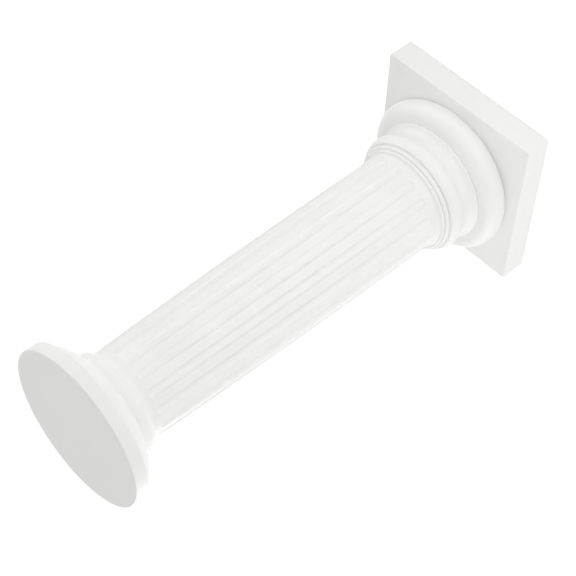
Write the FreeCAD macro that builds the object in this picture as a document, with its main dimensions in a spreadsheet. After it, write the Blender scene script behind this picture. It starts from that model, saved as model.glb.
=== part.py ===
import FreeCAD, Part
import math
import operator
import os
from types import SimpleNamespace

import Sketcher

# A free-standing column pedestal: square plinth, round base, fluted shaft, capital and round top.
# All pieces are hollow mouldings that plug into each other and are drawn up by screws from below.
# Z is up, the origin is on the floor under the column's axis, and lengths are in millimetres.

SIZES = {
    # Slip fits, screws and the ribs that every moulding shares
    "slip_gap": 0.3,
    "screw_gap": 0.15,
    "screw_shank_radius": 2.0,
    "screw_head_radius": 4.0,
    "screw_head_height": 2.6,
    "screw_length": 16.0,
    "screw_tip_length": 3.0,
    "screw_end_room": 1.0,
    "boss_radius": 6.0,
    "rib_thickness": 2.4,
    "rim_height": 3.0,
    "rim_width": 3.0,
    # Rubber feet
    "foot_stand": 2.0,
    "foot_height": 8.0,
    "foot_radius": 15.0,
    "foot_tread_radius": 13.0,
    "foot_recess_radius": 6.0,
    "foot_recess_depth": 4.0,
    "foot_inset": 30.0,
    # Square plinth
    "plinth_side": 278.0,
    "plinth_height": 40.9,
    "plinth_corner_radius": 4.0,
    "plinth_edge_round": 1.5,
    "plinth_wall": 3.0,
    "plinth_rib_depth": 22.0,
    # Round base
    "base_wall": 3.0,
    "lower_torus_height": 38.5,
    "lower_torus_projection": 29.0,
    "lip_height": 3.6,
    "lip_projection": 5.9,
    "scotia_height": 22.1,
    "upper_torus_height": 24.4,
    "upper_torus_projection": 7.8,
    "base_bead_height": 7.0,
    "base_bead_projection": 3.6,
    # Spigots that join the base, the shaft and the capital
    "spigot_radius": 35.0,
    "foot_spigot_length": 40.0,
    "head_spigot_length": 24.0,
    "spigot_end_gap": 0.5,
    "hub_screw_circle_radius": 20.0,
    # Fluted shaft, measured from shoulder to shoulder
    "shaft_length": 555.5,
    "shaft_wall": 2.8,
    "pilot_end_web": 2.5,
    "shaft_foot_radius": 77.4,
    "shaft_head_radius": 70.2,
    "shaft_entasis": 2.4,
    "foot_bead_height": 5.5,
    "foot_bead_projection": 7.7,
    "foot_cove_height": 10.0,
    "foot_cove_projection": 3.2,
    "head_cove_height": 15.0,
    "head_cove_projection": 8.0,
    "flute_width": 14.0,
    "flute_depth": 3.4,
    "flute_foot_margin": 18.5,
    "flute_head_margin": 20.0,
    # Vent plug in the shaft's foot
    "vent_radius": 6.0,
    "vent_plug_flange_radius": 9.0,
    "vent_plug_flange_height": 2.0,
    "vent_plug_length": 20.0,
    # Capital
    "capital_wall": 3.0,
    "neck_projection": 0.8,
    "neck_height": 17.6,
    "neck_flare": 2.7,
    "echinus_height": 28.0,
    "echinus_projection": 37.3,
    "disc_seat_width": 7.0,
    "screw_head_room": 1.6,
    # Round top
    "disc_overhang": 6.2,
    "disc_thickness": 22.4,
    "disc_edge_round": 2.5,
    "disc_skin": 3.2,
    "disc_rib_depth": 12.0,
}

FLUTE_COUNT = 16
RIB_COUNT = 12
SCREW_COUNT = 4
SIDE_COUNT = 4
FULL_TURN = 360
QUARTER_TURN = FULL_TURN // SIDE_COUNT
DIAGONAL_SHARE = math.sqrt(0.5)
LEVEL_TOLERANCE = 1e-6

# How far an edge bows, as a share of its chord: a half round, a quarter round and the mouldings' own curves
HALF_ROUND_SHARE = 0.5
QUARTER_ROUND_SHARE = (math.sqrt(2.0) - 1.0) / 2.0
BEAD_SHARE = 0.25
SCOTIA_SHARE = 0.25
UPPER_TORUS_SHARE = 0.2
COVE_SHARE = 0.16
NECK_SHARE = 0.07
ECHINUS_SHARE = 0.11
SCREW_DOME_SHARE = 0.1

SIGNS = {"+": operator.add, "-": operator.sub, "*": operator.mul, "/": operator.truediv}


class Size:
    """A length that keeps its number together with the sheet formula that gives it."""

    def __init__(self, number, formula):
        self.number = number
        self.formula = formula

    def __add__(self, other):
        return combined(self, "+", other)

    def __sub__(self, other):
        return combined(self, "-", other)

    def __mul__(self, other):
        return combined(self, "*", other)

    def __truediv__(self, other):
        return combined(self, "/", other)

    def __neg__(self):
        return combined(0.0, "-", self)


def as_size(value):
    if isinstance(value, Size):
        return value
    return Size(float(value), f"({float(value)!r})")


def combined(left, sign, right):
    left = as_size(left)
    right = as_size(right)
    return Size(SIGNS[sign](left.number, right.number), f"({left.formula} {sign} {right.formula})")


def bind(feature, path, value):
    """Ties one property of a feature to its sheet formula."""
    feature.setExpression(path, as_size(value).formula)


doc = FreeCAD.newDocument("column_pedestal")
sheet = doc.addObject("Spreadsheet::Sheet", "sizes")
for row, (name, number) in enumerate(SIZES.items(), start=1):
    sheet.set(f"A{row}", name.replace("_", " "))
    sheet.set(f"B{row}", str(number))
    sheet.setAlias(f"B{row}", name)
doc.recompute()
size = SimpleNamespace(**{name: Size(number, f"sizes.{name}") for name, number in SIZES.items()})
ZERO = as_size(0.0)


# Sketches and features

def new_piece(label, lift=ZERO, along_x=ZERO, along_y=ZERO):
    """A body with its own origin, set in its place on the column."""
    body = doc.addObject("PartDesign::Body", label)
    body.Label = label
    body.AllowCompound = True
    for axis, place in (("x", along_x), ("y", along_y), ("z", lift)):
        bind(body, f"Placement.Base.{axis}", place)
    return body


def origin_feature(body, role):
    return next(feature for feature in body.Origin.OriginFeatures if feature.Role == role)


def new_sketch(body, name, role, lift=ZERO, across=ZERO, turn=0.0):
    """A sketch on one of the body's own planes, raised off it, moved across it or turned about Z."""
    sketch = body.newObject("Sketcher::SketchObject", f"{body.Name}_{name}")
    sketch.AttachmentSupport = [(origin_feature(body, role), "")]
    sketch.MapMode = "FlatFace"
    upright = FreeCAD.Vector(0, 1, 0)
    sketch.AttachmentOffset = FreeCAD.Placement(FreeCAD.Vector(), FreeCAD.Rotation(upright, turn))
    bind(sketch, "AttachmentOffset.Base.x", across)
    bind(sketch, "AttachmentOffset.Base.z", lift)
    return sketch


def constrain(sketch, value, kind, *where):
    """Adds a measured constraint and ties it to the sheet."""
    index = sketch.addConstraint(Sketcher.Constraint(kind, *where, value.number))
    bind(sketch, f"Constraints[{index}]", value)


def fix_point(sketch, edge, end, x, y):
    """Places one point of an edge by its two coordinates."""
    for kind, axis, value in (("DistanceX", -2, x), ("DistanceY", -1, y)):
        if value.number > 0:
            constrain(sketch, value, kind, -1, 1, edge, end)
        elif value.number < 0:
            constrain(sketch, -value, kind, edge, end, -1, 1)
        else:
            sketch.addConstraint(Sketcher.Constraint("PointOnObject", edge, end, axis))


def draw_edge(sketch, start, finish, bow=0.0):
    """A line, or an arc that bows to the right of its way by a share of its chord."""
    bow = as_size(bow)
    points = [FreeCAD.Vector(point[0].number, point[1].number) for point in (start, finish)]
    if bow.number == 0:
        return sketch.addGeometry(Part.LineSegment(*points)), 1, 2
    middle_x = (start[0] + finish[0]) / 2 + (finish[1] - start[1]) * bow
    middle_y = (start[1] + finish[1]) / 2 - (finish[0] - start[0]) * bow
    points.insert(1, FreeCAD.Vector(middle_x.number, middle_y.number))
    crown = sketch.addGeometry(Part.Point(points[1]), True)
    fix_point(sketch, crown, 1, middle_x, middle_y)
    first, last = 1, 2
    if bow.number < 0:
        points.reverse()
        first, last = 2, 1
    edge = sketch.addGeometry(Part.Arc(*points))
    sketch.addConstraint(Sketcher.Constraint("PointOnObject", crown, 1, edge))
    return edge, first, last


def draw_outline(sketch, corners):
    """A closed outline. A corner is (x, y) or (x, y, bow), and the bow is of the edge that follows it."""
    ends = [
        draw_edge(sketch, corner[:2], follower[:2], *corner[2:])
        for corner, follower in zip(corners, [*corners[1:], corners[0]])
    ]
    for corner, (edge, first, last), (following, start, _) in zip(corners, ends, [*ends[1:], ends[0]]):
        sketch.addConstraint(Sketcher.Constraint("Coincident", edge, last, following, start))
        fix_point(sketch, edge, first, *corner[:2])


def draw_circle(sketch, radius, x=ZERO, y=ZERO):
    centre = FreeCAD.Vector(x.number, y.number)
    edge = sketch.addGeometry(Part.Circle(centre, FreeCAD.Vector(0, 0, 1), radius.number))
    constrain(sketch, radius, "Radius", edge)
    fix_point(sketch, edge, 3, x, y)


def draw_corner_circles(sketch, radius, reach):
    """Four circles on the diagonals, each at plus or minus the reach along X and Y."""
    for x in (reach, -reach):
        for y in (reach, -reach):
            draw_circle(sketch, radius, x, y)


def sketch_axis(sketch, start, finish):
    """A construction line between two points, and the name by which features turn about it."""
    line = Part.LineSegment(*(FreeCAD.Vector(point[0].number, point[1].number) for point in (start, finish)))
    edge = sketch.addGeometry(line, True)
    for end, point in enumerate((start, finish), start=1):
        fix_point(sketch, edge, end, *point)
    return "Axis0"


def turned(body, kind, sketch, axis="V_Axis"):
    """A revolution or a groove about the sketch's upright axis, or about another axis drawn in it."""
    feature = body.newObject(f"PartDesign::{kind}", f"{sketch.Name}_{kind.lower()}")
    feature.Profile = sketch
    feature.ReferenceAxis = (sketch, [axis])
    feature.Angle = FULL_TURN
    return feature


def raised(body, sketch, length, midplane=False):
    """A pad up from its sketch, or to both sides of it."""
    feature = body.newObject("PartDesign::Pad", f"{sketch.Name}_pad")
    feature.Profile = sketch
    feature.Midplane = midplane
    bind(feature, "Length", length)
    return feature


def sunk(body, sketch, depth):
    """A pocket that goes up from its sketch into the solid."""
    feature = body.newObject("PartDesign::Pocket", f"{sketch.Name}_pocket")
    feature.Profile = sketch
    feature.Reversed = True
    bind(feature, "Length", depth)
    return feature


def repeated(body, features, count):
    """Copies of features, evenly spaced about the body's upright axis."""
    pattern = body.newObject("PartDesign::PolarPattern", f"{features[0].Name}_ring")
    pattern.Originals = features
    pattern.Axis = (origin_feature(body, "Z_Axis"), [""])
    pattern.Angle = FULL_TURN
    pattern.Occurrences = count
    body.Tip = pattern
    return pattern


# Heights of the seats where one piece stands on the next, and the sizes that mating pieces share

plinth_top = size.foot_stand + size.plinth_height
base_height = (size.lower_torus_height + size.lip_height + size.scotia_height
               + size.upper_torus_height + size.base_bead_height)
base_top = plinth_top + base_height
shaft_top = base_top + size.shaft_length
capital_height = size.neck_height + size.echinus_height
capital_top = shaft_top + capital_height

# Radii, each stepping out from the shaft: down the base, and up the capital to the top
foot_bead_radius = size.shaft_foot_radius + size.foot_bead_projection
base_bead_radius = foot_bead_radius + size.base_bead_projection
upper_torus_radius = base_bead_radius + size.upper_torus_projection
lower_torus_radius = upper_torus_radius + size.lower_torus_projection
upper_torus_core = upper_torus_radius - size.upper_torus_height * UPPER_TORUS_SHARE
lower_torus_core = lower_torus_radius - size.lower_torus_height / 2
lip_radius = upper_torus_core + size.lip_projection
base_bead_edge = base_bead_radius - size.base_bead_height * BEAD_SHARE
head_radius = size.shaft_head_radius + size.head_cove_projection
neck_foot_radius = head_radius + size.neck_projection
neck_head_radius = neck_foot_radius + size.neck_flare
echinus_radius = neck_head_radius + size.echinus_projection
mouth_radius = echinus_radius - size.disc_seat_width
disc_radius = echinus_radius + size.disc_overhang

screw_hole_radius = size.screw_shank_radius + size.screw_gap
socket_radius = size.spigot_radius + size.slip_gap
socket_depth = size.foot_spigot_length + size.spigot_end_gap
base_inner_radius = lower_torus_core - size.base_wall
base_throat_radius = base_bead_edge - size.base_wall
base_screw_reach = (base_inner_radius + base_throat_radius) / 2 * DIAGONAL_SHARE
hub_screw_reach = size.hub_screw_circle_radius * DIAGONAL_SHARE
foot_reach = size.plinth_side / 2 - size.foot_inset
pieces = []


# Plinth: a square tray, open below, with radial ribs, a ring rib, foot bosses and a locating rim on top

plinth = new_piece("plinth_tray", size.foot_stand)
pieces.append(plinth)


def draw_rounded_square(sketch, half_side, corner_radius):
    flat = half_side - corner_radius
    draw_outline(sketch, [
        (half_side, -flat), (half_side, flat, QUARTER_ROUND_SHARE),
        (flat, half_side), (-flat, half_side, QUARTER_ROUND_SHARE),
        (-half_side, flat), (-half_side, -flat, QUARTER_ROUND_SHARE),
        (-flat, -half_side), (flat, -half_side, QUARTER_ROUND_SHARE),
    ])


plinth_half = size.plinth_side / 2
plate_underside = size.plinth_height - size.plinth_wall
plinth_square = new_sketch(plinth, "square", "XY_Plane")
draw_rounded_square(plinth_square, plinth_half, size.plinth_corner_radius)
plinth_block = raised(plinth, plinth_square, size.plinth_height)
doc.recompute()
top_edges = [
    f"Edge{number}" for number, edge in enumerate(plinth_block.Shape.Edges, start=1)
    if all(abs(vertex.Z - size.plinth_height.number) < LEVEL_TOLERANCE for vertex in edge.Vertexes)
]
plinth_round = plinth.newObject("PartDesign::Fillet", "plinth_edge_round")
plinth_round.Base = (plinth_block, top_edges)
bind(plinth_round, "Radius", size.plinth_edge_round)

plinth_hollow = new_sketch(plinth, "hollow", "XY_Plane")
draw_rounded_square(
    plinth_hollow, plinth_half - size.plinth_wall, size.plinth_corner_radius - size.plinth_wall
)
sunk(plinth, plinth_hollow, plate_underside)

rib_foot = plate_underside - size.plinth_rib_depth
half_rib = size.rib_thickness / 2
for turn in range(0, QUARTER_TURN, FULL_TURN // RIB_COUNT):
    # A rib reaches the middle of the side wall, so a slanting one is longer
    slant = math.cos(math.radians(min(turn, QUARTER_TURN - turn)))
    rib_reach = (plinth_half - size.plinth_wall / 2) / slant
    rib_sketch = new_sketch(plinth, f"rib_{turn}", "XZ_Plane", turn=turn)
    draw_outline(rib_sketch, [
        (ZERO, rib_foot), (rib_reach, rib_foot), (rib_reach, plate_underside), (ZERO, plate_underside),
    ])
    rib = raised(plinth, rib_sketch, size.rib_thickness, midplane=True)
    repeated(plinth, [rib], SIDE_COUNT)

ring_rib = new_sketch(plinth, "ring_rib", "XY_Plane", lift=rib_foot)
draw_circle(ring_rib, lower_torus_core)
draw_circle(ring_rib, lower_torus_core - size.rib_thickness)
raised(plinth, ring_rib, size.plinth_rib_depth)

foot_seat = size.foot_height - size.foot_stand
foot_bosses = new_sketch(plinth, "foot_bosses", "XY_Plane", lift=foot_seat)
draw_corner_circles(foot_bosses, size.boss_radius, foot_reach)
raised(plinth, foot_bosses, plate_underside - foot_seat)
foot_pilots = new_sketch(plinth, "foot_pilots", "XY_Plane", lift=foot_seat)
draw_corner_circles(foot_pilots, screw_hole_radius, foot_reach)
foot_web = size.foot_height - size.foot_recess_depth
sunk(plinth, foot_pilots, size.screw_length - foot_web + size.screw_end_room)

locating_rim = new_sketch(plinth, "locating_rim", "XY_Plane", lift=plate_underside)
rim_radius = base_inner_radius - size.slip_gap
draw_circle(locating_rim, rim_radius)
draw_circle(locating_rim, rim_radius - size.rim_width)
raised(plinth, locating_rim, size.plinth_wall + size.rim_height)
base_screw_holes = new_sketch(plinth, "base_screw_holes", "XY_Plane", lift=plate_underside)
draw_corner_circles(base_screw_holes, screw_hole_radius, base_screw_reach)
sunk(plinth, base_screw_holes, size.plinth_wall)


# Feet: turned rubber cups, each with a recess for the head of its screw

for side_y, depth_name in ((-1.0, "front"), (1.0, "rear")):
    for side_x, side_name in ((-1.0, "left"), (1.0, "right")):
        foot = new_piece(f"foot_{depth_name}_{side_name}", ZERO, foot_reach * side_x, foot_reach * side_y)
        pieces.append(foot)
        foot_profile = new_sketch(foot, "profile", "XZ_Plane")
        draw_outline(foot_profile, [
            (size.foot_recess_radius, ZERO), (size.foot_tread_radius, ZERO),
            (size.foot_radius, size.foot_height), (screw_hole_radius, size.foot_height),
            (screw_hole_radius, size.foot_recess_depth), (size.foot_recess_radius, size.foot_recess_depth),
        ])
        turned(foot, "Revolution", foot_profile)


# Base: a hollow moulding of even wall, with a socket tube for the shaft, radial ribs and screw bosses

base = new_piece("base_moulding", plinth_top)
pieces.append(base)
lip_foot = size.lower_torus_height
scotia_foot = lip_foot + size.lip_height
upper_torus_foot = scotia_foot + size.scotia_height
bead_foot = upper_torus_foot + size.upper_torus_height
base_profile = new_sketch(base, "profile", "XZ_Plane")
draw_outline(base_profile, [
    (ZERO, ZERO),
    (lower_torus_core, ZERO, HALF_ROUND_SHARE),
    (lower_torus_core, lip_foot),
    (lip_radius, lip_foot, BEAD_SHARE),
    (lip_radius, scotia_foot, -SCOTIA_SHARE),
    (upper_torus_core, upper_torus_foot, UPPER_TORUS_SHARE),
    (upper_torus_core, bead_foot),
    (base_bead_edge, bead_foot, BEAD_SHARE),
    (base_bead_edge, base_height),
    (ZERO, base_height),
])
turned(base, "Revolution", base_profile)

socket_floor = base_height - socket_depth
socket_underside = socket_floor - size.base_wall
tube_radius = socket_radius + size.base_wall
socket = new_sketch(base, "socket", "XZ_Plane")
draw_outline(socket, [
    (ZERO, socket_floor), (socket_radius, socket_floor), (socket_radius, base_height), (ZERO, base_height),
])
turned(base, "Groove", socket)
screw_well = new_sketch(base, "screw_well", "XZ_Plane")
draw_outline(screw_well, [
    (ZERO, ZERO), (socket_radius, ZERO), (socket_radius, socket_underside), (ZERO, socket_underside),
])
turned(base, "Groove", screw_well)


def base_lining(depth):
    """The corners of a line that follows the mouldings from inside, at a depth under their skin."""
    return [
        (lower_torus_core - depth, depth),
        (lower_torus_core, depth, HALF_ROUND_SHARE),
        (lower_torus_core, lip_foot - depth),
        (lip_radius - depth, lip_foot - depth),
        (lip_radius - depth, scotia_foot - depth, -SCOTIA_SHARE),
        (upper_torus_core - depth, upper_torus_foot, UPPER_TORUS_SHARE),
        (upper_torus_core - depth, bead_foot - depth),
        (base_bead_edge - depth, bead_foot - depth),
        (base_bead_edge - depth, base_height - depth),
    ]


base_hollow = new_sketch(base, "hollow", "XZ_Plane")
draw_outline(base_hollow, [
    (tube_radius, ZERO), (base_inner_radius, ZERO),
    *base_lining(size.base_wall),
    (tube_radius, base_height - size.base_wall),
])
turned(base, "Groove", base_hollow)

half_base_wall = size.base_wall / 2
rib_clear = size.rim_height + size.slip_gap
base_rib_sketch = new_sketch(base, "rib", "XZ_Plane")
draw_outline(base_rib_sketch, [
    (tube_radius - half_base_wall, rib_clear), (lower_torus_core - half_base_wall, rib_clear),
    *base_lining(half_base_wall),
    (tube_radius - half_base_wall, base_height - half_base_wall),
])
base_rib = raised(base, base_rib_sketch, size.rib_thickness, midplane=True)
repeated(base, [base_rib], RIB_COUNT)

base_bosses = new_sketch(base, "bosses", "XY_Plane")
draw_corner_circles(base_bosses, size.boss_radius, base_screw_reach)
raised(base, base_bosses, lip_foot - half_base_wall)
base_pilots = new_sketch(base, "pilots", "XY_Plane")
draw_corner_circles(base_pilots, screw_hole_radius, base_screw_reach)
sunk(base, base_pilots, size.screw_length - size.plinth_wall + size.screw_end_room)
shaft_screw_holes = new_sketch(base, "shaft_screw_holes", "XY_Plane", lift=socket_underside)
draw_corner_circles(shaft_screw_holes, screw_hole_radius, hub_screw_reach)
draw_circle(shaft_screw_holes, size.vent_plug_flange_radius + size.slip_gap)
sunk(base, shaft_screw_holes, size.base_wall)


# Shaft: a hollow moulding with a spigot at each end, swelling by its entasis, with round-ended flutes

shaft = new_piece("shaft", base_top)
pieces.append(shaft)
foot_cove_foot = size.foot_bead_height
foot_cove_head = foot_cove_foot + size.foot_cove_height
head_cove_foot = size.shaft_length - size.head_cove_height
head_spigot_top = size.shaft_length + size.head_spigot_length
entasis_share = size.shaft_entasis / (head_cove_foot - foot_cove_head)
foot_bead_edge = foot_bead_radius - size.foot_bead_height * BEAD_SHARE
flute_pitch = FULL_TURN / FLUTE_COUNT
shaft_profile = new_sketch(shaft, "profile", "XZ_Plane", turn=flute_pitch / 2)
draw_outline(shaft_profile, [
    (ZERO, -size.foot_spigot_length), (size.spigot_radius, -size.foot_spigot_length),
    (size.spigot_radius, ZERO),
    (foot_bead_edge, ZERO, BEAD_SHARE),
    (foot_bead_edge, foot_cove_foot),
    (size.shaft_foot_radius + size.foot_cove_projection, foot_cove_foot, -COVE_SHARE),
    (size.shaft_foot_radius, foot_cove_head, entasis_share),
    (size.shaft_head_radius, head_cove_foot, -COVE_SHARE),
    (head_radius, size.shaft_length),
    (size.spigot_radius, size.shaft_length),
    (size.spigot_radius, head_spigot_top), (ZERO, head_spigot_top),
])
turned(shaft, "Revolution", shaft_profile)

skin = size.flute_depth + size.shaft_entasis + size.shaft_wall
bore_radius = size.spigot_radius - size.shaft_wall
shaft_hollow = new_sketch(shaft, "hollow", "XZ_Plane")
pilot_depth = size.screw_length - size.base_wall - size.spigot_end_gap + size.screw_end_room
spigot_end_wall = pilot_depth + size.pilot_end_web
hollow_floor = spigot_end_wall - size.foot_spigot_length
draw_outline(shaft_hollow, [
    (ZERO, hollow_floor), (bore_radius, hollow_floor),
    (bore_radius, size.shaft_wall),
    (size.shaft_foot_radius - skin, size.shaft_wall, entasis_share),
    (size.shaft_head_radius - skin, size.shaft_length - size.shaft_wall),
    (bore_radius, size.shaft_length - size.shaft_wall),
    (bore_radius, head_spigot_top - size.shaft_wall), (ZERO, head_spigot_top - size.shaft_wall),
])
turned(shaft, "Groove", shaft_hollow)

# A flute is cut by a long round-ended spindle that leans with the shaft's side, so it has round ends and is
# deepest and widest where the shaft swells
flute_half = size.flute_width / 2
spindle_radius = (flute_half * flute_half + size.flute_depth * size.flute_depth) / (size.flute_depth * 2)
spindle_offset = spindle_radius - size.flute_depth
flute_foot = size.flute_foot_margin + flute_half
flute_head = size.shaft_length - size.flute_head_margin - flute_half
foot_centre = (size.shaft_foot_radius + spindle_offset, flute_foot)
head_centre = (size.shaft_head_radius + spindle_offset, flute_head)
lean = (head_centre[0] - foot_centre[0]) / (flute_head - flute_foot)
spindle_lean = spindle_radius * lean
spindle_foot = (foot_centre[0] - spindle_lean, flute_foot - spindle_radius)
spindle_head = (head_centre[0] + spindle_lean, flute_head + spindle_radius)
spindle = new_sketch(shaft, "flute_spindle", "XZ_Plane")
draw_outline(spindle, [
    (*spindle_foot, QUARTER_ROUND_SHARE),
    (foot_centre[0] + spindle_radius, flute_foot - spindle_lean),
    (head_centre[0] + spindle_radius, flute_head - spindle_lean, QUARTER_ROUND_SHARE),
    spindle_head,
])
spindle_axis = sketch_axis(spindle, spindle_foot, spindle_head)
flute = turned(shaft, "Groove", spindle, spindle_axis)
repeated(shaft, [flute], FLUTE_COUNT)

vent = new_sketch(shaft, "vent", "XY_Plane", lift=-size.foot_spigot_length)
draw_circle(vent, size.vent_radius)
sunk(shaft, vent, spigot_end_wall)
shaft_pilots = new_sketch(shaft, "pilots", "XY_Plane", lift=-size.foot_spigot_length)
draw_corner_circles(shaft_pilots, screw_hole_radius, hub_screw_reach)
sunk(shaft, shaft_pilots, pilot_depth)


# Vent plug: a pushed-in stopper whose flange bears on the end of the foot spigot

vent_plug = new_piece("vent_plug", base_top - size.foot_spigot_length)
pieces.append(vent_plug)
plug_radius = size.vent_radius - size.screw_gap
plug_profile = new_sketch(vent_plug, "profile", "XZ_Plane")
draw_outline(plug_profile, [
    (ZERO, -size.vent_plug_flange_height), (size.vent_plug_flange_radius, -size.vent_plug_flange_height),
    (size.vent_plug_flange_radius, ZERO), (plug_radius, ZERO),
    (plug_radius, size.vent_plug_length), (ZERO, size.vent_plug_length),
])
turned(vent_plug, "Revolution", plug_profile)


# Capital: a neck band and echinus, with a socket tube over the shaft's head spigot and radial ribs

capital = new_piece("capital", shaft_top)
pieces.append(capital)
capital_profile = new_sketch(capital, "profile", "XZ_Plane")
draw_outline(capital_profile, [
    (ZERO, ZERO),
    (neck_foot_radius, ZERO, NECK_SHARE),
    (neck_head_radius, size.neck_height, ECHINUS_SHARE),
    (echinus_radius, capital_height),
    (ZERO, capital_height),
])
turned(capital, "Revolution", capital_profile)

cap_floor = size.head_spigot_length + size.screw_head_height + size.screw_head_room
cap_deck = cap_floor + size.capital_wall
mouth_foot = capital_height - size.rim_height - size.slip_gap
cap_tube_radius = socket_radius + size.capital_wall
neck_inner_radius = neck_foot_radius - size.capital_wall
cap_socket = new_sketch(capital, "socket", "XZ_Plane")
draw_outline(cap_socket, [
    (ZERO, ZERO), (socket_radius, ZERO), (socket_radius, cap_floor), (ZERO, cap_floor),
])
turned(capital, "Groove", cap_socket)
boss_well = new_sketch(capital, "boss_well", "XZ_Plane")
draw_outline(boss_well, [
    (ZERO, cap_deck), (socket_radius, cap_deck), (socket_radius, capital_height), (ZERO, capital_height),
])
turned(capital, "Groove", boss_well)
cap_hollow = new_sketch(capital, "hollow", "XZ_Plane")
draw_outline(cap_hollow, [
    (cap_tube_radius, size.capital_wall), (neck_inner_radius, size.capital_wall),
    (neck_inner_radius, size.neck_height + size.capital_wall, ECHINUS_SHARE),
    (mouth_radius, mouth_foot), (mouth_radius, capital_height), (cap_tube_radius, capital_height),
])
turned(capital, "Groove", cap_hollow)

half_cap_wall = size.capital_wall / 2
cap_rib_sketch = new_sketch(capital, "rib", "XZ_Plane")
draw_outline(cap_rib_sketch, [
    (cap_tube_radius - half_cap_wall, half_cap_wall), (neck_inner_radius + half_cap_wall, half_cap_wall),
    (neck_inner_radius + half_cap_wall, size.neck_height + half_cap_wall, ECHINUS_SHARE),
    (mouth_radius + half_cap_wall, mouth_foot), (cap_tube_radius - half_cap_wall, mouth_foot),
])
cap_rib = raised(capital, cap_rib_sketch, size.rib_thickness, midplane=True)
repeated(capital, [cap_rib], RIB_COUNT)
disc_screw_holes = new_sketch(capital, "disc_screw_holes", "XY_Plane", lift=cap_floor)
draw_corner_circles(disc_screw_holes, screw_hole_radius, hub_screw_reach)
sunk(capital, disc_screw_holes, size.capital_wall)


# Top: a round plate with rolled edges, a locating rim below, radial ribs and four screw bosses

disc = new_piece("top_disc", capital_top)
pieces.append(disc)
edge_core = disc_radius - size.disc_edge_round
disc_profile = new_sketch(disc, "profile", "XZ_Plane")
draw_outline(disc_profile, [
    (ZERO, ZERO),
    (edge_core, ZERO, QUARTER_ROUND_SHARE),
    (disc_radius, size.disc_edge_round),
    (disc_radius, size.disc_thickness - size.disc_edge_round, QUARTER_ROUND_SHARE),
    (edge_core, size.disc_thickness),
    (ZERO, size.disc_thickness),
])
turned(disc, "Revolution", disc_profile)

skirt_radius = mouth_radius - size.slip_gap
skirt_inner_radius = skirt_radius - size.rim_width
skin_underside = size.disc_thickness - size.disc_skin
disc_hollow = new_sketch(disc, "hollow", "XZ_Plane")
draw_outline(disc_hollow, [
    (ZERO, ZERO), (skirt_inner_radius, ZERO),
    (skirt_inner_radius, skin_underside), (ZERO, skin_underside),
])
turned(disc, "Groove", disc_hollow)
disc_rim = new_sketch(disc, "rim", "XY_Plane", lift=-size.rim_height)
draw_circle(disc_rim, skirt_radius)
draw_circle(disc_rim, skirt_inner_radius)
raised(disc, disc_rim, size.rim_height + size.disc_edge_round)

disc_rib_sketch = new_sketch(disc, "rib", "XZ_Plane")
disc_rib_reach = skirt_inner_radius + size.rim_width / 2
draw_outline(disc_rib_sketch, [
    (ZERO, skin_underside - size.disc_rib_depth), (disc_rib_reach, skin_underside - size.disc_rib_depth),
    (disc_rib_reach, skin_underside), (ZERO, skin_underside),
])
disc_rib = raised(disc, disc_rib_sketch, size.rib_thickness, midplane=True)
repeated(disc, [disc_rib], RIB_COUNT)
boss_foot = cap_deck - capital_height
disc_bosses = new_sketch(disc, "bosses", "XY_Plane", lift=boss_foot)
draw_corner_circles(disc_bosses, size.boss_radius, hub_screw_reach)
raised(disc, disc_bosses, skin_underside - boss_foot)
disc_pilots = new_sketch(disc, "pilots", "XY_Plane", lift=boss_foot)
draw_corner_circles(disc_pilots, screw_hole_radius, hub_screw_reach)
sunk(disc, disc_pilots, size.screw_length - size.capital_wall + size.screw_end_room)


# Screws: one kind of pan-head screw throughout, in four rings of four

def screw_ring(label, bearing_height, reach):
    """Four screws on the diagonals, heads down, bearing at the given height."""
    body = new_piece(label, bearing_height)
    body.Placement.Rotation = FreeCAD.Rotation(FreeCAD.Vector(0, 0, 1), FULL_TURN / SCREW_COUNT / 2)
    profile = new_sketch(body, "profile", "XZ_Plane", across=reach / DIAGONAL_SHARE)
    shank_end = size.screw_length - size.screw_tip_length
    draw_outline(profile, [
        (ZERO, -size.screw_head_height, SCREW_DOME_SHARE), (size.screw_head_radius, ZERO),
        (size.screw_shank_radius, ZERO), (size.screw_shank_radius, shank_end), (ZERO, size.screw_length),
    ])
    screw = turned(body, "Revolution", profile)
    repeated(body, [screw], SCREW_COUNT)
    return body


pieces.append(screw_ring("foot_screws", size.foot_recess_depth, foot_reach))
pieces.append(screw_ring("base_screws", size.foot_stand + plate_underside, base_screw_reach))
pieces.append(screw_ring("shaft_screws", plinth_top + socket_underside, hub_screw_reach))
pieces.append(screw_ring("disc_screws", shaft_top + cap_floor, hub_screw_reach))


# Every feature and every piece is checked before any file is written

doc.recompute()
for feature in doc.Objects:
    if "Invalid" in feature.State or "Error" in feature.State:
        raise RuntimeError(f"{feature.Name} failed: {feature.State}")
for piece in pieces:
    if piece.Shape.isNull() or not piece.Shape.isValid():
        raise RuntimeError(f"{piece.Label} has no valid shape")

os.makedirs("parts", exist_ok=True)
for piece in pieces:
    piece.Shape.exportStep(f"parts/{piece.Label}.step")
    print(f"{piece.Label}: {len(piece.Shape.Solids)} solids, {piece.Shape.Volume:.0f} mm3")
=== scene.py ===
import math

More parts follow.
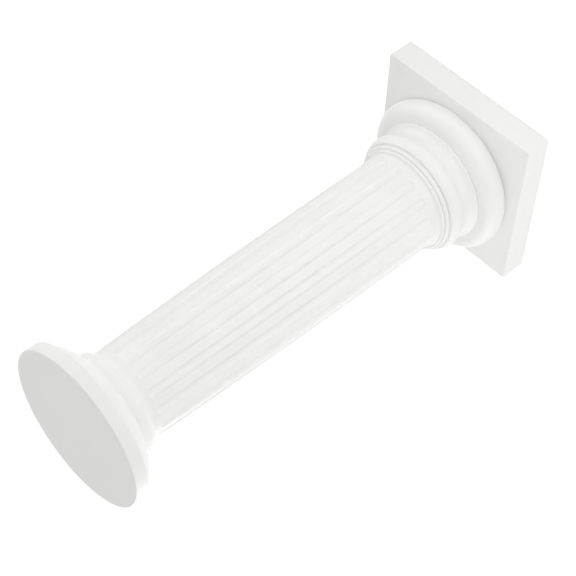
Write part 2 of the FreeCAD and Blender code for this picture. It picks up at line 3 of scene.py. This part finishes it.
import bpy
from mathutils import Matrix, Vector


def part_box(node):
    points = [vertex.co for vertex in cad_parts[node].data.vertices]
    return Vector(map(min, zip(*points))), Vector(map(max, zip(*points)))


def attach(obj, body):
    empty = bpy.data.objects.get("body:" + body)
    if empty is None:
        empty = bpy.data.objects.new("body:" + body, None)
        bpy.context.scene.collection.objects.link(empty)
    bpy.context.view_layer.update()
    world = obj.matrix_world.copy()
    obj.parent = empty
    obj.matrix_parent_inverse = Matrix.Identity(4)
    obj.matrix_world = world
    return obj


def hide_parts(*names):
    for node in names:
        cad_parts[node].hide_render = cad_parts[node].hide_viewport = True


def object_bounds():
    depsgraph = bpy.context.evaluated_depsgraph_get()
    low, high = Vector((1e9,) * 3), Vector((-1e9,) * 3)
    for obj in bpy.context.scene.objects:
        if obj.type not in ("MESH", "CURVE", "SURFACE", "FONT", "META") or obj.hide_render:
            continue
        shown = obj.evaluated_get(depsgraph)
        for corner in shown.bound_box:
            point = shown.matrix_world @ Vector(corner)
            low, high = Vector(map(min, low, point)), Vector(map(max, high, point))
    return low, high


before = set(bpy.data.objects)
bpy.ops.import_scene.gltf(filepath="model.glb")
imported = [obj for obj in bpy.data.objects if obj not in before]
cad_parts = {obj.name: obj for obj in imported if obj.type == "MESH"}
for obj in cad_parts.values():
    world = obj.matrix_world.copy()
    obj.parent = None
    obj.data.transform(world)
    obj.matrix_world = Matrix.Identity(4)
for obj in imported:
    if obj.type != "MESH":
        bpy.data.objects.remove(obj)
cad_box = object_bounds()
bpy.ops.object.select_all(action="DESELECT")


# Square plinth
# A shallow tray of white polypropylene, injected upside down and open below. It stands on four feet, and the
# round base is screwed to it from underneath, so its top and sides are plain.

def linear(hex_colour):
    """An sRGB hex colour as linear RGBA."""
    channels = [int(hex_colour[i:i + 2], 16) / 255 for i in (1, 3, 5)]
    return [c / 12.92 if c <= 0.04045 else ((c + 0.055) / 1.055) ** 2.4 for c in channels] + [1.0]


def add(tree, kind, settings=None, links=None):
    """Adds a node, sets its properties and sockets, and links sockets, by name or number, to other outputs."""
    node = tree.nodes.new(kind)
    for key, value in (settings or {}).items():
        if hasattr(node, key):
            setattr(node, key, value)
        else:
            node.inputs[key].default_value = value
    for key, output in (links or {}).items():
        tree.links.new(output, node.inputs[key])
    return node


def new_material(name):
    """A material with an empty node tree, and that tree."""
    material = bpy.data.materials.new(name)
    material.use_nodes = True
    material.node_tree.nodes.clear()
    return material, material.node_tree


def dress(piece, material):
    """Gives a piece its one material."""
    piece.data.materials.clear()
    piece.data.materials.append(material)


# White polypropylene: an even, slightly soft white with a satin sheen, a fine grain from the tool and faint
# clouds of tone and gloss where the melt flowed. The grain is drawn coarser than the real one, so that it shows.
cloud_width = 0.070
grain_width = 0.0009
grain_depth = 0.00005

white_plastic, tree = new_material("white_moulded_polypropylene")
place = add(tree, "ShaderNodeTexCoord").outputs["Object"]
cloud = add(tree, "ShaderNodeTexNoise", {"Scale": 1 / cloud_width, "Detail": 3.0}, {"Vector": place}).outputs["Fac"]
grain = add(tree, "ShaderNodeTexNoise", {"Scale": 1 / grain_width, "Detail": 2.0}, {"Vector": place}).outputs["Fac"]
tone = add(tree, "ShaderNodeValToRGB", links={"Fac": cloud})
dull, clear = tone.color_ramp.elements
dull.position, dull.color = 0.35, linear("#f5f5f4")
clear.position, clear.color = 0.65, linear("#f7f7f6")
sheen = add(tree, "ShaderNodeMapRange", {"To Min": 0.40, "To Max": 0.47}, {"Value": cloud})
tool_grain = add(tree, "ShaderNodeBump", {"Strength": 0.2, "Distance": grain_depth}, {"Height": grain})
shader = add(tree, "ShaderNodeBsdfPrincipled", {"IOR": 1.49}, {
    "Base Color": tone.outputs["Color"],
    "Roughness": sheen.outputs["Result"],
    "Normal": tool_grain.outputs["Normal"],
})
add(tree, "ShaderNodeOutputMaterial", links={"Surface": shader.outputs["BSDF"]})

dress(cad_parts["plinth_tray"], white_plastic)


# Feet
# Four moulded rubber feet under the plinth's corners, each held by a screw in its recess. They lift the rim
# off the floor by a thin dark line and are seen only from below.

# Black rubber: matt, nearly black, with a moulded grain and a grey bloom in patches. The grain is drawn coarser
# than the real one, so that it shows.
bloom_width = 0.012
rubber_grain_width = 0.0006
rubber_grain_depth = 0.0001

foot_rubber, tree = new_material("moulded_black_rubber")
place = add(tree, "ShaderNodeTexCoord").outputs["Object"]
bloom = add(tree, "ShaderNodeTexNoise", {"Scale": 1 / bloom_width, "Detail": 4.0}, {"Vector": place}).outputs["Fac"]
grain = add(tree, "ShaderNodeTexNoise", {"Scale": 1 / rubber_grain_width}, {"Vector": place}).outputs["Fac"]
tone = add(tree, "ShaderNodeValToRGB", links={"Fac": bloom})
bare, bloomed = tone.color_ramp.elements
bare.position, bare.color = 0.35, linear("#232323")
bloomed.position, bloomed.color = 0.65, linear("#303030")
rubber_grain = add(tree, "ShaderNodeBump", {"Strength": 0.4, "Distance": rubber_grain_depth}, {"Height": grain})
shader = add(tree, "ShaderNodeBsdfPrincipled", {"IOR": 1.52, "Roughness": 0.78}, {
    "Base Color": tone.outputs["Color"],
    "Normal": rubber_grain.outputs["Normal"],
})
add(tree, "ShaderNodeOutputMaterial", links={"Surface": shader.outputs["BSDF"]})

for corner in ("front_left", "front_right", "rear_left", "rear_right"):
    dress(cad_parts[f"foot_{corner}"], foot_rubber)


# Round base
# One ribbed moulding of the same plastic that sits on the plinth: a fat lower torus, a thin lip, a scotia and an
# upper torus under a bead. This copy of the solid brings the lower torus down to the plinth in a flatter curve
# than a half round, so that no dark groove is left at its foot.

base_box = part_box("base_moulding")
torus_foot = base_box[0][2]
torus_reach = base_box[1][0]
torus_half = 0.01925
foot_reach = 0.1150
same_place = 0.0003
same_corner = 0.000001
crease = math.radians(30)

base = bpy.data.objects.new("round_base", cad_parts["base_moulding"].data.copy())
bpy.context.scene.collection.objects.link(base)
base.data.attributes.remove(base.data.attributes["custom_normal"])
bpy.context.view_layer.objects.active = base
base.select_set(True)
bpy.ops.object.mode_set(mode="EDIT")
bpy.ops.mesh.select_all(action="SELECT")
bpy.ops.mesh.remove_doubles(threshold=same_corner)
bpy.ops.object.mode_set(mode="OBJECT")

# The corners on the torus's lower half move outwards, each at its own height.
for vertex in base.data.vertices:
    across = math.hypot(vertex.co.x, vertex.co.y)
    drop = min(1.0, 1.0 - (vertex.co.z - torus_foot) / torus_half)
    if drop < 0:
        continue
    half_round = torus_reach - torus_half * (1.0 - math.sqrt(1.0 - drop ** 2))
    if abs(across - half_round) < same_place:
        stretch = (torus_reach - (torus_reach - foot_reach) * drop ** 2) / across
        vertex.co.x *= stretch
        vertex.co.y *= stretch
bpy.ops.object.shade_smooth_by_angle(angle=crease)
base.select_set(False)

dress(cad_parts["base_moulding"], white_plastic)
dress(base, white_plastic)
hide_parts("base_moulding")
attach(base, "root")


# Fluted shaft
# A hollow moulding with sixteen round-ended flutes between plain bands. A bead runs round its foot, and it
# tapers with a slight swelling to the cove under the capital. Spigots at both ends join it to its neighbours.

dress(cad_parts["shaft"], white_plastic)


# Vent plug
# A plug of natural nylon, pushed into the blow hole in the shaft's foot to close it. It is out of sight inside
# the base once the column is together.

# Natural nylon: a milky, warm off-white that light enters, with a soft gloss.
haze_width = 0.008
light_depth = 0.004

plug_nylon, tree = new_material("natural_nylon")
place = add(tree, "ShaderNodeTexCoord").outputs["Object"]
haze = add(tree, "ShaderNodeTexNoise", {"Scale": 1 / haze_width, "Detail": 3.0}, {"Vector": place}).outputs["Fac"]
tone = add(tree, "ShaderNodeValToRGB", links={"Fac": haze})
milky, pale = tone.color_ramp.elements
milky.position, milky.color = 0.35, linear("#e6e3d8")
pale.position, pale.color = 0.65, linear("#eceadf")
shader = add(tree, "ShaderNodeBsdfPrincipled", {
    "IOR": 1.53,
    "Roughness": 0.42,
    "Subsurface Weight": 0.6,
    "Subsurface Radius": [1, 1, 1],
    "Subsurface Scale": light_depth,
}, {"Base Color": tone.outputs["Color"]})
add(tree, "ShaderNodeOutputMaterial", links={"Surface": shader.outputs["BSDF"]})

dress(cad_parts["vent_plug"], plug_nylon)


# Capital
# A short neck and a flared echinus in one thin-walled moulding of the same plastic. It caps the shaft's upper
# spigot and carries the round top on its mouth.

dress(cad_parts["capital"], white_plastic)


# Round top
# A flat disc of the same plastic with softly rounded edges. It is ribbed underneath and screwed to the capital
# from inside, so its top is plain.

dress(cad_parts["top_disc"], white_plastic)


# Screws
# Sixteen pan-head steel screws in four groups: feet to plinth, plinth to base, base to shaft, and capital to
# top. All are driven upwards, so none shows from above.

# Bright zinc plate: a pale, slightly blue metal with a fine uneven lustre.
lustre_width = 0.0015

zinc_plate, tree = new_material("bright_zinc_plate")
place = add(tree, "ShaderNodeTexCoord").outputs["Object"]
lustre = add(tree, "ShaderNodeTexNoise", {"Scale": 1 / lustre_width, "Detail": 4.0}, {"Vector": place}).outputs["Fac"]
tone = add(tree, "ShaderNodeValToRGB", links={"Fac": lustre})
grey, bright = tone.color_ramp.elements
grey.position, grey.color = 0.35, linear("#b4b8bd")
bright.position, bright.color = 0.65, linear("#c9ccd0")
polish = add(tree, "ShaderNodeMapRange", {"To Min": 0.22, "To Max": 0.42}, {"Value": lustre})
shader = add(tree, "ShaderNodeBsdfPrincipled", {"Metallic": 1.0}, {
    "Base Color": tone.outputs["Color"],
    "Roughness": polish.outputs["Result"],
})
add(tree, "ShaderNodeOutputMaterial", links={"Surface": shader.outputs["BSDF"]})

for joint in ("foot", "base", "shaft", "disc"):
    dress(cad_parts[f"{joint}_screws"], zinc_plate)


# Floor and backdrop
# A wide pale floor that runs out to a white backdrop. To the eye and in reflections both are white, and the
# floor still takes the column's shadow. It lies a hair below the feet, so that their treads show from below.

floor_side = 24.0
floor_drop = 0.0002
floor_glow = 0.45
sky_strength = 0.89


def seen_directly(tree):
    """One for rays from the camera and through or off shiny things, zero for the light that falls on things."""
    path = add(tree, "ShaderNodeLightPath").outputs
    total = path["Is Camera Ray"]
    for ray in ("Is Glossy Ray", "Is Transmission Ray"):
        total = add(tree, "ShaderNodeMath", {"operation": "MAXIMUM"}, {0: total, 1: path[ray]}).outputs["Value"]
    return total


floor_paper, tree = new_material("pale_floor")
paper = add(tree, "ShaderNodeBsdfDiffuse", {"Color": linear("#f8f8f8")}).outputs["BSDF"]
glow = add(tree, "ShaderNodeEmission", {"Color": linear("#ffffff"), "Strength": floor_glow}).outputs["Emission"]
bright_paper = add(tree, "ShaderNodeAddShader", links={0: paper, 1: glow}).outputs["Shader"]
surface = add(tree, "ShaderNodeMixShader", links={"Fac": seen_directly(tree), 1: paper, 2: bright_paper})
add(tree, "ShaderNodeOutputMaterial", links={"Surface": surface.outputs["Shader"]})

bpy.ops.mesh.primitive_plane_add(size=floor_side, location=(0, 0, -floor_drop))
floor = bpy.context.active_object
floor.name = "floor"
dress(floor, floor_paper)

room = bpy.data.worlds.new("studio")
bpy.context.scene.world = room
room.use_nodes = True
tree = room.node_tree
tree.nodes.clear()
direction = add(tree, "ShaderNodeTexCoord").outputs["Generated"]
height = add(tree, "ShaderNodeSeparateXYZ", links={"Vector": direction}).outputs["Z"]
overhead = add(tree, "ShaderNodeMapRange", {"To Max": sky_strength}, {"Value": height}).outputs["Result"]
dim_walls = add(tree, "ShaderNodeBackground", {"Color": linear("#ffffff")}, {"Strength": overhead})
white_walls = add(tree, "ShaderNodeBackground", {"Color": linear("#ffffff"), "Strength": 1.0})
walls = add(tree, "ShaderNodeMixShader", links={
    "Fac": seen_directly(tree),
    1: dim_walls.outputs["Background"],
    2: white_walls.outputs["Background"],
})
add(tree, "ShaderNodeOutputWorld", links={"Surface": walls.outputs["Shader"]})


# Studio lamps
# Large soft lamps round the column, most of them low, so that upright faces are lighter than level ones. A small
# one lifts the plinth's top at the corner on the right of the picture.

column_middle = (cad_box[0][2] + cad_box[1][2]) / 2


def soft_lamp(name, azimuth, distance, height, wide, tall, watts, aim=column_middle):
    """A lamp of a given width and height that looks at the column's axis and isn't seen itself."""
    lamp = bpy.data.lights.new(name, "AREA")
    lamp.shape = "RECTANGLE"
    lamp.size, lamp.size_y = wide, tall
    lamp.energy = watts
    holder = bpy.data.objects.new(name, lamp)
    bpy.context.scene.collection.objects.link(holder)
    holder.visible_camera = False
    around = math.radians(azimuth)
    holder.location = (distance * math.cos(around), distance * math.sin(around), height)
    holder.rotation_euler = (math.pi / 2 - math.atan2(height - aim, distance), 0, around + math.pi / 2)


soft_lamp("front_lamp", azimuth=56, distance=2.1, height=1.75, wide=1.6, tall=1.6, watts=9.2)
soft_lamp("left_lamp", azimuth=153, distance=2.6, height=0.62, wide=2.9, tall=1.6, watts=21.5)
soft_lamp("right_lamp", azimuth=306, distance=2.6, height=0.62, wide=2.9, tall=1.6, watts=19.0)
soft_lamp("low_strip", azimuth=52, distance=1.2, height=0.10, wide=2.2, tall=0.18, watts=4.3, aim=0.15)
soft_lamp("corner_lamp", azimuth=290, distance=0.8, height=0.50, wide=0.5, tall=0.3, watts=0.95, aim=0.04)


# Camera
# A long lens that looks down on the round top, from over one corner of the plinth. It is rolled, so that the
# column lies across the picture.

lens = bpy.data.cameras.new("camera")
lens.lens = 102.71
lens.sensor_width = 36.0
camera = bpy.data.objects.new("camera", lens)
bpy.context.scene.collection.objects.link(camera)
camera.location = (1.05181, 1.82077, 1.43206)
camera.rotation_euler = [math.radians(angle) for angle in (-49.16331, 46.93612, 2.49454)]
bpy.context.scene.camera = camera
bpy.context.scene.view_settings.view_transform = "Standard"
